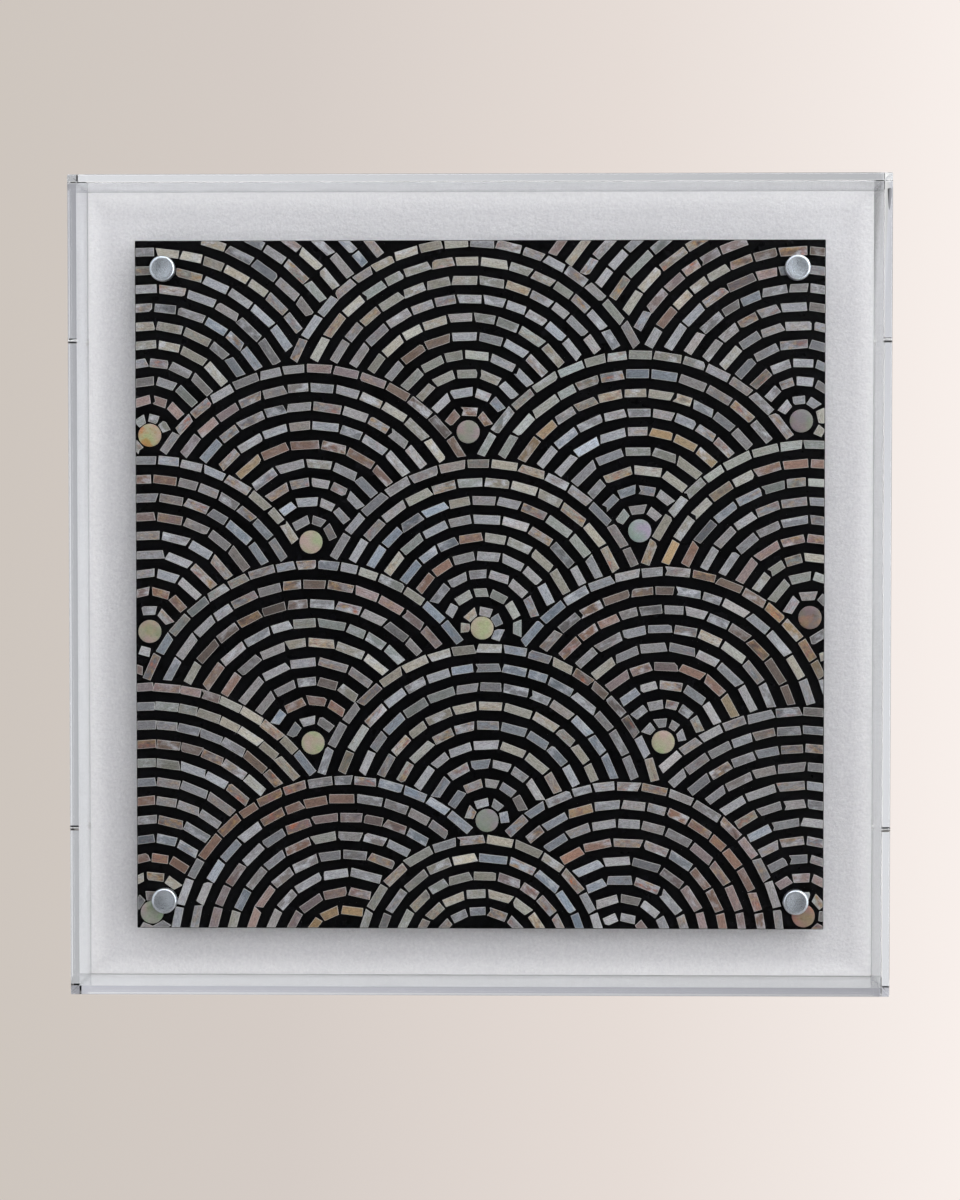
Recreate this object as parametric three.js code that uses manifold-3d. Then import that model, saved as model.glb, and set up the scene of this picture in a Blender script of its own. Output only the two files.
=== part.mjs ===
// Wall panel: a black board with a shell mosaic of overlapping waves, held in front of a white
// board inside a clear acrylic box. Millimetres, +X right, +Z up. The wall is at y = 0 and the
// front of the box faces -Y. The origin is the middle of the back, where the panel meets the wall.

import * as THREE from 'three';
import { mergeVertices } from 'three/addons/utils/BufferGeometryUtils.js';
import Module from 'manifold-3d';

const wasm = await Module();
wasm.setup();

// Acrylic cover
const coverWidth = 610;
const coverHeight = 610;
const coverDepth = 63;
const coverSheet = 6;
const coverSetback = 1;

// White board that closes the back of the cover
const backBoardThickness = 12;
const backBoardClearance = 0.5;

// Black board that carries the mosaic
const mosaicMargin = 46;
const mosaicWidth = coverWidth - 2 * mosaicMargin;
const mosaicHeight = coverHeight - 2 * mosaicMargin;
const mosaicBoardThickness = 9;

// Shell tiles and discs. The tiles of a course are one strip of straight stretches.
const shellThickness = 1.6;
const courseWidth = 7.2;
const courseGap = 1;
const courseMargin = 0.8;
const courseRise = 2.2;
const courseShortest = 7;
const discRadius = 8.6;
const discGap = 0.6;
const discMargin = 1.9;

// Standoffs that hold the mosaic board in front of the white board
const standoffRadius = 9.5;
const standoffLength = 15;
const standoffInset = 21.5;
const capThickness = 6;
const capBevel = 0.8;
const studRadius = 3;
const studGrip = 8;

// Screws in the sides of the cover
const coverScrewInset = 120;
const coverScrewSpan = coverHeight - 2 * coverScrewInset;
const coverScrewRadius = 1.6;
const coverScrewGrip = 12;
const coverScrewHeadRadius = 2.9;
const coverScrewHeadHeight = 1.6;

// Keyhole hanger plates let into the back of the white board
const hangerInset = 125;
const hangerSpan = coverWidth - 2 * hangerInset;
const hangerDrop = 60;
const hangerWidth = 20;
const hangerHeight = 58;
const hangerThickness = 2;
const hangerSetback = 0.2;
const keyholeRadius = 5;
const keyholeSlotRadius = 2.6;
const keyholeSlotLength = 12;
const keyholePocketSpare = 2;
const keyholePocketDepth = 9;
const hangerScrewInset = 7;
const hangerScrewRadius = 1.5;
const hangerScrewGrip = 7;
const hangerScrewHeadRadius = 3;

// Gap that touching pieces keep, and the clearance of a screw in its hole
const contactGap = 0.3;
const holeClearance = 0.3;

// Waves from back to front. Each centre lies across and up from the middle of the board, as a share
// of the way to where a disc has its margin from the edge. Then the radius of the first course, that
// of the last one and the number of courses. A bare wave has no disc at its centre, and a narrow one
// gives the width of its last course as a share of the full round.
const waveShapes = [
  { name: 'corner_left', across: -0.998, up: 0.455, first: 12.9, last: 220.2, courses: 16 },
  { name: 'corner_right', across: 0.97, up: 0.497, first: 15.9, last: 224.2, courses: 16 },
  { name: 'top_centre', across: -0.034, up: 0.465, first: 15.7, last: 141.5, courses: 10 },
  { name: 'upper_left', across: -0.51, up: 0.132, first: 16.5, last: 130.2, courses: 9 },
  { name: 'upper_right', across: 0.484, up: 0.166, first: 16.5, last: 132, courses: 9 },
  { name: 'middle_left', across: -1, up: -0.139, first: 15.9, last: 129, courses: 9 },
  { name: 'middle_centre', across: 0.008, up: -0.128, first: 12.9, last: 123.4, courses: 9 },
  { name: 'middle_right', across: 0.998, up: -0.096, first: 16.7, last: 129.8, courses: 9 },
  { name: 'lower_left', across: -0.505, up: -0.477, first: 17.2, last: 134.3, courses: 9 },
  { name: 'lower_right', across: 0.556, up: -0.473, first: 14.4, last: 128.3, courses: 9 },
  { name: 'bottom_left', across: -0.996, up: -0.994, first: 12.9, last: 170.5, courses: 12, narrow: 0.91 },
  { name: 'bottom_right', across: 0.981, up: -1, first: 15.2, last: 153.9, courses: 11 },
  { name: 'bottom_centre', across: 0.023, up: -0.712, first: 13.6, last: 129.8, courses: 9 },
  { name: 'edge_left', across: -0.403, up: -1.117, first: 32.6, last: 131, courses: 8, bare: true },
  { name: 'edge_right', across: 0.431, up: -1.089, first: 20.5, last: 119.9, courses: 8, bare: true },
  { name: 'edge_centre', across: 0.005, up: -1.141, first: 37.9, last: 92, courses: 5, bare: true },
];
const centreX = mosaicWidth / 2 - discRadius - discMargin;
const centreZ = mosaicHeight / 2 - discRadius - discMargin;
const waves = waveShapes.map((wave) => {
  return { ...wave, x: wave.across * centreX, z: wave.up * centreZ };
});

// Places that follow from the sizes, as Y of each face
const coverRim = -coverSetback;
const coverFront = coverRim - coverDepth;
const backBoardFront = -backBoardThickness;
const barrelBack = backBoardFront - contactGap;
const barrelFront = barrelBack - standoffLength;
const mosaicBack = barrelFront - contactGap;
const mosaicFront = mosaicBack - mosaicBoardThickness;
const shellFront = mosaicFront - shellThickness;
const discBack = mosaicFront - contactGap;
const capBack = shellFront - contactGap;
const capFront = capBack - capThickness;
const studEnd = backBoardFront + studGrip;
const standoffX = mosaicWidth / 2 - standoffInset;
const standoffZ = mosaicHeight / 2 - standoffInset;
const coverScrewY = backBoardFront / 2;
const coverScrewFace = coverWidth / 2 + contactGap;
const coverScrewEnd = coverWidth / 2 - coverSheet - backBoardClearance - coverScrewGrip;
const hangerFace = -hangerSetback;
const hangerBack = hangerFace - hangerThickness;
const hangerZ = coverHeight / 2 - hangerDrop;
const hangerScrewEnd = hangerBack - hangerScrewGrip;

// How far a cut runs past the face that it opens, and sides of the round pieces
const cutPast = 1;
const capSides = 16;
const barrelSides = 8;
const holeSides = 8;
const discSides = 12;
const screwSides = 8;
const keyholeSides = 6;
const courseSearchSteps = 1440;

const materials = {
  acrylic: { color: 0xf4f6f8, roughness: 0.03, metalness: 0, transparent: true, opacity: 0.15 },
  whiteBoard: { color: 0xd9d7db, roughness: 0.9, metalness: 0 },
  mosaic: { color: 0x55534f, roughness: 0.4, metalness: 0 },
  shell: { color: 0xa8a397, roughness: 0.3, metalness: 0 },
  satinMetal: { color: 0xb4bcc4, roughness: 0.35, metalness: 0.9 },
  screwSteel: { color: 0x9a9a9c, roughness: 0.4, metalness: 0.9 },
  hangerSteel: { color: 0x8c8d90, roughness: 0.45, metalness: 0.9 },
};

const corners = [
  { name: 'top_left', x: -1, z: 1 },
  { name: 'top_right', x: 1, z: 1 },
  { name: 'bottom_left', x: -1, z: -1 },
  { name: 'bottom_right', x: 1, z: -1 },
];

const panel = new THREE.Group();

function add(name, geometry, material) {
  const mesh = new THREE.Mesh(geometry, new THREE.MeshStandardMaterial(material));
  mesh.name = name;
  panel.add(mesh);
}

// A closed geometry as a solid that can be cut and joined, and back
function solid(geometry) {
  const bare = geometry.clone();
  bare.deleteAttribute('normal');
  bare.deleteAttribute('uv');
  const merged = mergeVertices(bare);
  const mesh = new wasm.Mesh({
    numProp: 3,
    vertProperties: new Float32Array(merged.attributes.position.array),
    triVerts: new Uint32Array(merged.index.array),
  });
  return new wasm.Manifold(mesh);
}

function geometryOf(body) {
  const mesh = body.getMesh();
  const geometry = new THREE.BufferGeometry();
  geometry.setAttribute('position', new THREE.BufferAttribute(mesh.vertProperties, 3));
  geometry.setIndex(new THREE.BufferAttribute(mesh.triVerts, 1));
  geometry.computeVertexNormals();
  return geometry;
}

// Block between two faces, the one nearer the wall first
function slab(width, height, back, front, x = 0, z = 0) {
  const box = new THREE.BoxGeometry(width, back - front, height);
  return box.translate(x, (back + front) / 2, z);
}

// Flat outline in X and Z with a thickness between two faces, the one nearer the wall first
function sheet(outline, back, front) {
  const options = { depth: back - front, bevelEnabled: false, curveSegments: keyholeSides };
  const geometry = new THREE.ExtrudeGeometry(outline, options);
  return geometry.rotateX(Math.PI / 2).translate(0, back, 0);
}

// Turned piece on an axis along Y, from pairs of radius and Y that run from the front to the back
function turned(profile, sides, x = 0, z = 0) {
  const points = profile.map(([radius, y]) => new THREE.Vector2(radius, y));
  return new THREE.LatheGeometry(points, sides).translate(x, 0, z);
}

// Round bar or hole between two faces, the one nearer the wall first
function bar(radius, back, front, sides, x, z) {
  return turned([[0, front], [radius, front], [radius, back], [0, back]], sides, x, z);
}

// Flat ring between two faces, the one nearer the wall first
function ring(inner, outer, back, front, sides, x, z) {
  const profile = [[inner, back], [inner, front], [outer, front], [outer, back], [inner, back]];
  return turned(profile, sides, x, z);
}

// Screw in the side of the cover: a low head outside and a shank in the white board's edge
function coverScrewPlaced(geometry, corner) {
  geometry.rotateZ(-corner.x * Math.PI / 2);
  return geometry.translate(0, coverScrewY, corner.z * coverScrewSpan / 2);
}

function coverScrew(corner) {
  const crown = coverScrewFace + coverScrewHeadHeight;
  const profile = [
    [0, coverScrewEnd],
    [coverScrewRadius, coverScrewEnd],
    [coverScrewRadius, coverScrewFace],
    [coverScrewHeadRadius, coverScrewFace],
    [coverScrewHeadRadius, coverScrewFace + coverScrewHeadHeight / 2],
    [coverScrewHeadRadius / 2, crown],
    [0, crown],
  ];
  return coverScrewPlaced(turned(profile, screwSides), corner);
}

function coverScrewHole(corner) {
  const radius = coverScrewRadius + holeClearance;
  const hole = bar(radius, coverScrewFace + cutPast, coverScrewEnd - contactGap, holeSides);
  return coverScrewPlaced(hole, corner);
}

// Standoff: a cap in front with a long stud behind it, and a barrel between the two boards
function standoffCap(x, z) {
  const profile = [
    [0, capFront],
    [standoffRadius - capBevel, capFront],
    [standoffRadius, capFront + capBevel],
    [standoffRadius, capBack],
    [studRadius, capBack],
    [studRadius, studEnd],
    [0, studEnd],
  ];
  return turned(profile, capSides, x, z);
}

function standoffBarrel(x, z) {
  const bore = studRadius + holeClearance;
  return ring(bore, standoffRadius, barrelBack, barrelFront, barrelSides, x, z);
}

function studHole(back, front, corner) {
  const radius = studRadius + holeClearance;
  return bar(radius, back, front, holeSides, corner.x * standoffX, corner.z * standoffZ);
}

// Hanger plate: a keyhole, wide below for the head of a wall screw and narrow above for its
// shank, and a countersunk screw at each end
function keyhole(x, spare) {
  const wide = keyholeRadius + spare;
  const narrow = keyholeSlotRadius + spare;
  const z = hangerZ - keyholeSlotLength / 2;
  const top = z + keyholeSlotLength;
  const opening = Math.asin(narrow / wide);
  const outline = new THREE.Shape();
  outline.absarc(x, z, wide, Math.PI / 2 + opening, Math.PI * 5 / 2 - opening, false);
  outline.absarc(x, top, narrow, 0, Math.PI, false);
  outline.closePath();
  return outline;
}

function hangerScrewPlaces(x) {
  const reach = hangerHeight / 2 - hangerScrewInset;
  return [{ name: 'lower', x, z: hangerZ - reach }, { name: 'upper', x, z: hangerZ + reach }];
}

function hangerScrew(x, z, clearance = 0, past = 0) {
  const shank = hangerScrewRadius + clearance;
  const head = hangerScrewHeadRadius + clearance;
  const profile = [
    [0, hangerScrewEnd - clearance],
    [shank, hangerScrewEnd - clearance],
    [shank, hangerBack],
    [head, hangerFace],
    [head, hangerFace + past],
    [0, hangerFace + past],
  ];
  return turned(past ? profile : profile.filter((point, i) => i !== 4), screwSides, x, z);
}

function hangerPlate(x) {
  const left = x - hangerWidth / 2;
  const bottom = hangerZ - hangerHeight / 2;
  const outline = new THREE.Shape();
  outline.moveTo(left, bottom);
  outline.lineTo(left + hangerWidth, bottom);
  outline.lineTo(left + hangerWidth, bottom + hangerHeight);
  outline.lineTo(left, bottom + hangerHeight);
  outline.closePath();
  outline.holes.push(keyhole(x, 0));
  let plate = solid(sheet(outline, hangerFace, hangerBack));
  for (const place of hangerScrewPlaces(x)) {
    plate = plate.subtract(solid(hangerScrew(place.x, place.z, holeClearance, cutPast)));
  }
  return plate;
}

// Acrylic cover: a front sheet and four walls, open at the back, drilled for its four screws
function cover() {
  const insideWidth = coverWidth - 2 * coverSheet;
  const insideHeight = coverHeight - 2 * coverSheet;
  const insideFront = coverFront + coverSheet;
  let body = solid(slab(coverWidth, coverHeight, coverRim, coverFront));
  body = body.subtract(solid(slab(insideWidth, insideHeight, cutPast, insideFront)));
  for (const corner of corners) {
    body = body.subtract(solid(coverScrewHole(corner)));
  }
  return body;
}

// White board: it fills the back of the cover, with pockets for the hangers and holes for screws
function backBoard() {
  const width = coverWidth - 2 * (coverSheet + backBoardClearance);
  const height = coverHeight - 2 * (coverSheet + backBoardClearance);
  let board = solid(slab(width, height, 0, backBoardFront));
  for (const corner of corners) {
    board = board.subtract(solid(studHole(studEnd + contactGap, backBoardFront - cutPast, corner)));
    board = board.subtract(solid(coverScrewHole(corner)));
  }
  const pocketWidth = hangerWidth + 2 * contactGap;
  const pocketHeight = hangerHeight + 2 * contactGap;
  const pocketFloor = hangerBack - contactGap;
  for (const side of [-1, 1]) {
    const x = side * hangerSpan / 2;
    const pocket = slab(pocketWidth, pocketHeight, cutPast, pocketFloor, x, hangerZ);
    board = board.subtract(solid(pocket));
    const room = sheet(keyhole(x, keyholePocketSpare), cutPast, -keyholePocketDepth);
    board = board.subtract(solid(room));
    for (const place of hangerScrewPlaces(x)) {
      board = board.subtract(solid(hangerScrew(place.x, place.z, holeClearance, cutPast)));
    }
  }
  return board;
}

// Point of a course, and whether it shows there: on the board, clear of the waves in front of its
// own and of the discs of the others
function waveWidth(wave, radius) {
  return 1 - (1 - (wave.narrow ?? 1)) * radius / wave.last;
}

function coursePoint(wave, radius, angle) {
  const x = wave.x + radius * Math.cos(angle) * waveWidth(wave, radius);
  return { x, z: wave.z + radius * Math.sin(angle) };
}

function clearOfWave(point, wave) {
  const away = Math.hypot((point.x - wave.x) / waveWidth(wave, wave.last), point.z - wave.z);
  return away > wave.last + courseWidth / 2 + courseGap;
}

const discWaves = waves.filter((wave) => !wave.bare);

function courseShows(wave, radius, angle) {
  const half = courseWidth / 2;
  const middle = coursePoint(wave, radius, angle);
  const inWidth = Math.abs(middle.x) < mosaicWidth / 2 + half;
  if (!inWidth || Math.abs(middle.z) > mosaicHeight / 2 + half) {
    return false;
  }
  const inFront = waves.slice(waves.indexOf(wave) + 1);
  const otherDiscs = discWaves.filter((other) => other !== wave);
  return [-half, 0, half].every((edge) => {
    const point = coursePoint(wave, radius + edge, angle);
    const clear = inFront.every((other) => clearOfWave(point, other));
    return clear && otherDiscs.every((other) => {
      return Math.hypot(point.x - other.x, point.z - other.z) > discRadius + discGap;
    });
  });
}

// Stretches of a course that show, as pairs of angles counted from straight below the centre
function courseStretches(wave, radius) {
  const below = -Math.PI / 2;
  const step = 2 * Math.PI / courseSearchSteps;
  const stretches = [];
  let start = null;
  for (let i = 0; i <= courseSearchSteps; i += 1) {
    const angle = below + i * step;
    const shows = i < courseSearchSteps && courseShows(wave, radius, angle);
    if (shows && start === null) {
      start = angle;
    }
    if (!shows && start !== null) {
      if ((angle - step - start) * radius > courseShortest) {
        stretches.push([start, angle - step]);
      }
      start = null;
    }
  }
  return stretches;
}

// One stretch as a flat strip: each straight length touches the round at its middle, and its ends
// rise no more than courseRise above it
function courseStrip(wave, radius, [start, end]) {
  const widest = 2 * Math.acos(radius / (radius + courseRise));
  const lengths = Math.ceil((end - start) / widest);
  const turn = (end - start) / lengths;
  const outer = (radius + courseWidth / 2) / Math.cos(turn / 2);
  const inner = (radius - courseWidth / 2) / Math.cos(turn / 2);
  const points = [];
  for (let i = 0; i <= lengths; i += 1) {
    points.push(coursePoint(wave, outer, start + i * turn));
  }
  for (let i = lengths; i >= 0; i -= 1) {
    points.push(coursePoint(wave, inner, start + i * turn));
  }
  return new THREE.Shape(points.map(({ x, z }) => new THREE.Vector2(x, z)));
}

function shellCourses() {
  const strips = [];
  for (const wave of waves) {
    const step = (wave.last - wave.first) / (wave.courses - 1);
    for (let course = 0; course < wave.courses; course += 1) {
      const radius = wave.first + course * step;
      for (const stretch of courseStretches(wave, radius)) {
        const strip = courseStrip(wave, radius, stretch);
        strips.push(solid(sheet(strip, mosaicFront + cutPast, shellFront)));
      }
    }
  }
  const width = mosaicWidth - 2 * courseMargin;
  const height = mosaicHeight - 2 * courseMargin;
  const field = solid(slab(width, height, mosaicFront + 2 * cutPast, shellFront - cutPast));
  return wasm.Manifold.union(strips).intersect(field);
}

// Black board with the courses of tiles bonded to its face, and four holes for the studs
function mosaicBoard() {
  let board = solid(slab(mosaicWidth, mosaicHeight, mosaicBack, mosaicFront)).add(shellCourses());
  for (const corner of corners) {
    board = board.subtract(solid(studHole(mosaicBack + cutPast, shellFront - cutPast, corner)));
  }
  return board;
}

add('acrylic_cover', geometryOf(cover()), materials.acrylic);
add('back_board', geometryOf(backBoard()), materials.whiteBoard);
add('mosaic_board', geometryOf(mosaicBoard()), materials.mosaic);

for (const wave of discWaves) {
  const disc = bar(discRadius, discBack, shellFront, discSides, wave.x, wave.z);
  add(`shell_disc_${wave.name}`, disc, materials.shell);
}

for (const corner of corners) {
  const x = corner.x * standoffX;
  const z = corner.z * standoffZ;
  add(`standoff_cap_${corner.name}`, standoffCap(x, z), materials.satinMetal);
  add(`standoff_barrel_${corner.name}`, standoffBarrel(x, z), materials.satinMetal);
  add(`cover_screw_${corner.name}`, coverScrew(corner), materials.screwSteel);
}

for (const side of [{ name: 'left', x: -1 }, { name: 'right', x: 1 }]) {
  const x = side.x * hangerSpan / 2;
  add(`hanger_plate_${side.name}`, geometryOf(hangerPlate(x)), materials.hangerSteel);
  for (const place of hangerScrewPlaces(x)) {
    const name = `hanger_screw_${side.name}_${place.name}`;
    add(name, hangerScrew(place.x, place.z), materials.screwSteel);
  }
}

export default panel;
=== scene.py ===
# Square wall panel: a shell mosaic of overlapping waves on a black board, held by four standoffs
# in front of a white board, inside a clear acrylic cover. Metres, +X right, +Z up, front at -Y.

import math
import random

import bmesh
import bpy
from mathutils import Matrix, Vector


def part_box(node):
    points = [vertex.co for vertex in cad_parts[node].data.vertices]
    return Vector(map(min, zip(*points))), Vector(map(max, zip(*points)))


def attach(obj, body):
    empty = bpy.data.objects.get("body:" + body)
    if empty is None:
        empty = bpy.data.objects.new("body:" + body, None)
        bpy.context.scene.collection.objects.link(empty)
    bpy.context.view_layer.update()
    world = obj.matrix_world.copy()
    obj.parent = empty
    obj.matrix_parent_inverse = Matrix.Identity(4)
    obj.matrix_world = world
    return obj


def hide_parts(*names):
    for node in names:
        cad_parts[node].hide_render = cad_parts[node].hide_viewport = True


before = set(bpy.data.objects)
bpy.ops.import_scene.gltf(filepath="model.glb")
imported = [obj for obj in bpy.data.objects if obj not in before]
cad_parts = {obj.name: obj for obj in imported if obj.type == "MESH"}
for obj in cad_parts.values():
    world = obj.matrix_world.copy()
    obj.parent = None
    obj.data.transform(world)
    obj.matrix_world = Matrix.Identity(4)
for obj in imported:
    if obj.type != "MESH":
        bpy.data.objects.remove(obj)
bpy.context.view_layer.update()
MM = 0.001


# Camera. A long lens level with the middle of the panel, a little to its right, as one looks at
# a hung panel from two steps away.
def placed(name, data):
    """A new object with this data, in the scene."""
    thing = bpy.data.objects.new(name, data)
    bpy.context.scene.collection.objects.link(thing)
    return thing


camera_data = bpy.data.cameras.new("camera")
camera_data.sensor_width = 36
camera_data.lens = 70.76
camera = placed("camera", camera_data)
camera.location = (0.0293, -1.812, 0.0366)
camera.rotation_euler = (math.radians(88.47), 0, math.radians(0.934))
bpy.context.scene.camera = camera
bpy.context.scene.view_settings.view_transform = "Standard"


# Stage. A pale floor well below the panel, a plain light surround that is paler to the right and
# dark straight in front of the glass, and one soft lamp above on the right.
def new_finish(name):
    """A material with its tree and the one shader that it starts with."""
    finish = bpy.data.materials.new(name)
    finish.use_nodes = True
    return finish, finish.node_tree, finish.node_tree.nodes["Principled BSDF"]


def shade(red, green, blue):
    """A colour as it shows on a screen, 0 to 255, as the light values that a shader takes."""
    parts = [value / 255 for value in (red, green, blue)]
    linear = [p / 12.92 if p <= 0.04045 else ((p + 0.055) / 1.055) ** 2.4 for p in parts]
    return (*linear, 1)


def feed(socket, value):
    """Gives a socket a plain value or joins it to another socket."""
    if isinstance(value, bpy.types.NodeSocket):
        socket.id_data.links.new(value, socket)
    else:
        socket.default_value = value


def new_node(tree, kind, inputs=None, **settings):
    """A node of a tree, with its settings and what goes into its inputs."""
    node = tree.nodes.new(kind)
    for name, value in settings.items():
        setattr(node, name, value)
    for name, value in (inputs or {}).items():
        feed(node.inputs[name], value)
    return node


def ramp(value, stops):
    """Colours or grey values laid out over a value from 0 to 1."""
    node = new_node(value.id_data, "ShaderNodeValToRGB", {"Fac": value})
    elements = node.color_ramp.elements
    while len(elements) < len(stops):
        elements.new(0.5)
    for element, (position, colour) in zip(elements, stops):
        element.position = position
        element.color = colour if hasattr(colour, "__len__") else (colour, colour, colour, 1)
    return node.outputs["Color"]


def grain(place, scale, detail=4, roughness=0.5, stretch=None):
    """A noise pattern on the given coordinates, stretched by a vector if there is one."""
    tree = place.id_data
    if stretch:
        mapping = new_node(tree, "ShaderNodeMapping", {"Vector": place, "Scale": stretch})
        place = mapping.outputs["Vector"]
    noise = new_node(tree, "ShaderNodeTexNoise", {
        "Vector": place, "Scale": scale, "Detail": detail, "Roughness": roughness})
    return noise.outputs["Fac"]


def object_place(tree):
    return new_node(tree, "ShaderNodeTexCoord").outputs["Object"]


floor_drop = 0.9
floor_half = 4.0
floor_behind = 1.1
floor_before = 2.4
floor_mesh = bpy.data.meshes.new("floor")
floor_mesh.from_pydata(
    [(-floor_half, -floor_before, -floor_drop), (floor_half, -floor_before, -floor_drop),
     (floor_half, floor_behind, -floor_drop), (-floor_half, floor_behind, -floor_drop)],
    [], [(0, 1, 2, 3)])
floor = placed("floor", floor_mesh)
floor_finish, tree, shader = new_finish("floor_finish")
feed(shader.inputs["Base Color"],
     ramp(grain(object_place(tree), 3),
          [(0.3, shade(172, 166, 162)), (0.7, shade(182, 177, 173))]))
shader.inputs["Roughness"].default_value = 0.8
floor_mesh.materials.append(floor_finish)

world = bpy.data.worlds.new("surround")
bpy.context.scene.world = world
world.use_nodes = True
tree = world.node_tree
way = new_node(tree, "ShaderNodeTexCoord").outputs["Generated"]
direction = new_node(tree, "ShaderNodeSeparateXYZ", {"Vector": way})


def along(value, low, high, stops):
    """Colours laid out along one part of a direction, from low to high."""
    spread = new_node(value.id_data, "ShaderNodeMapRange", {
        "Value": value, "From Min": low, "From Max": high})
    return ramp(spread.outputs["Result"], stops)


def blend(kind, factor, first, second):
    """Two colours mixed, the first a socket. MIX gives the second at a factor of 1."""
    mix = new_node(first.id_data, "ShaderNodeMix", {"Factor": factor, "A": first, "B": second},
                   data_type="RGBA", blend_type=kind)
    return mix.outputs["Result"]


def math_of(operation, first, second):
    """A number worked out from two others, the first of them a socket."""
    node = new_node(first.id_data, "ShaderNodeMath", {0: first, 1: second}, operation=operation)
    return node.outputs["Value"]


def leaning(way, middle, lean):
    """A grey value that grows from its middle value as the direction leans the given way."""
    dot = new_node(way.id_data, "ShaderNodeVectorMath", {0: way, 1: lean},
                   operation="DOT_PRODUCT")
    return math_of("ADD", dot.outputs["Value"], middle)


def scaled(vector, value):
    """A vector or a colour times a value."""
    node = new_node(vector.id_data, "ShaderNodeVectorMath", {0: vector, "Scale": value},
                    operation="SCALE")
    return node.outputs["Vector"]


# How far the picture reaches up, down and to the sides, as parts of a direction
picture_reach = 0.24
backdrop = along(direction.outputs["X"], -picture_reach, picture_reach,
                 [(0.0, shade(204, 196, 188)), (0.3, shade(213, 204, 198)),
                  (0.6, shade(230, 220, 214)), (1.0, shade(255, 247, 243))])
straight_behind = along(direction.outputs["Z"], -picture_reach, picture_reach,
                        [(0.0, shade(210, 211, 214)), (0.5, shade(208, 209, 213)),
                         (1.0, shade(174, 174, 182))])
straight_behind = scaled(straight_behind, leaning(way, 1.0, (-1.25, 0, 0)))
round_behind = leaning(way, 0.46, (-0.85, 0, -0.85))
round_behind.node.use_clamp = True
is_straight = along(direction.outputs["Y"], 0.9, 1.0, [(0.3, 0.0), (0.6, 1.0)])
side_light = blend("MIX", is_straight, round_behind, straight_behind)
front_light = along(direction.outputs["Y"], -1, 0,
                    [(0.0, 0.006), (0.038, 0.006), (0.078, 1.0), (0.42, 1.0), (0.55, 0.40),
                     (1.0, 0.36)])
front_light = scaled(front_light, leaning(way, 2.7, (1.85, 0, 1.1)))
is_behind = math_of("GREATER_THAN", direction.outputs["Y"], 0.0)
lighting = blend("MIX", is_behind, front_light, side_light)
seen = new_node(tree, "ShaderNodeLightPath").outputs["Is Camera Ray"]
feed(tree.nodes["Background"].inputs["Color"], blend("MIX", seen, lighting, backdrop))

lamp_data = bpy.data.lights.new("lamp_upper_right", "AREA")
lamp_data.size = 1.2
lamp_data.energy = 20
lamp_data.color = (1.0, 0.99, 0.98)
lamp = placed("lamp_upper_right", lamp_data)
lamp.location = (1.45, -1.75, 1.20)
lamp.rotation_euler = (-lamp.location).to_track_quat("-Z", "Y").to_euler()
lamp.visible_camera = False


# White board. Fibreboard covered in matt white paper with loose fibres, cut to slide into the
# back of the cover, with pockets behind for the hangers. The paper's face is soft and mottled,
# with painted light: it is painted whiter close to the clear walls, where light comes through them.
def relief(shader, height, distance, strength, before=None):
    """A bump from a height pattern, on top of another bump if there is one."""
    bump = new_node(height.id_data, "ShaderNodeBump", {
        "Height": height, "Distance": distance, "Strength": strength})
    if before:
        feed(bump.inputs["Normal"], before.outputs["Normal"])
    feed(shader.inputs["Normal"], bump.outputs["Normal"])
    return bump


white_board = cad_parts["back_board"]
white_finish, tree, shader = new_finish("white_fibrous_paper")
place = object_place(tree)
paper_grain = grain(place, 520, 5, 0.7)
paper_tone = ramp(paper_grain, [(0.30, shade(211, 210, 215)), (0.70, shade(234, 233, 236))])
# Painted light: a whiter paper tone near the walls, standing in for the light that comes through
# them
painted_wall_glow_tone = ramp(paper_grain, [(0.30, shade(236, 235, 239)), (0.70, shade(253, 252, 254))])
paper_half = max(corner[0] for corner in white_board.bound_box)
painted_glow_margin = 18 * MM
aside = new_node(tree, "ShaderNodeVectorMath", {0: place}, operation="ABSOLUTE")
aside_parts = new_node(tree, "ShaderNodeSeparateXYZ", {"Vector": aside.outputs["Vector"]})
farther = math_of("MAXIMUM", aside_parts.outputs["X"], aside_parts.outputs["Z"])
# The share of painted light, rising towards the board's edges
painted_glow_share = new_node(tree, "ShaderNodeMapRange", {
    "Value": farther, "From Min": paper_half - painted_glow_margin, "From Max": paper_half - MM},
    interpolation_type="SMOOTHSTEP")
feed(shader.inputs["Base Color"],
     blend("MIX", painted_glow_share.outputs["Result"], paper_tone, painted_wall_glow_tone))
shader.inputs["Roughness"].default_value = 0.9
paper_relief = relief(shader, grain(place, 520, 6, 0.7), 0.0009, 0.6)
relief(shader, grain(place, 150, 4, 0.6, (1, 1, 1.6)), 0.0012, 0.5, paper_relief)
white_board.data.materials.clear()
white_board.data.materials.append(white_finish)
joined = white_board.modifiers.new("joined", "WELD")
joined.merge_threshold = 0.00001
paper_edge = white_board.modifiers.new("paper_edge", "BEVEL")
paper_edge.width = 0.4 * MM
paper_edge.segments = 2
paper_edge.limit_method = "ANGLE"
paper_edge.angle_limit = math.radians(60)
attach(white_board, "root")


# Black board. A dense board with a satin black face and edges, sawn square and eased, drilled at
# its corners for the standoffs. The mosaic is bonded to its face.
def new_piece(name, mesh, finish, nodes_replaced):
    """A finished piece: its mesh in place, its finish, and what it stands for in the model."""
    piece = placed(name, mesh)
    mesh.materials.clear()
    mesh.materials.append(finish)
    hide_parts(*nodes_replaced)
    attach(piece, "root")


def block(low, high):
    """A closed block between two corners, as a bmesh."""
    shape = bmesh.new()
    bmesh.ops.create_cube(shape, size=1)
    size = Vector(high) - Vector(low)
    middle = (Vector(high) + Vector(low)) / 2
    bmesh.ops.scale(shape, vec=size, verts=shape.verts)
    bmesh.ops.translate(shape, vec=middle, verts=shape.verts)
    return shape


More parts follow.
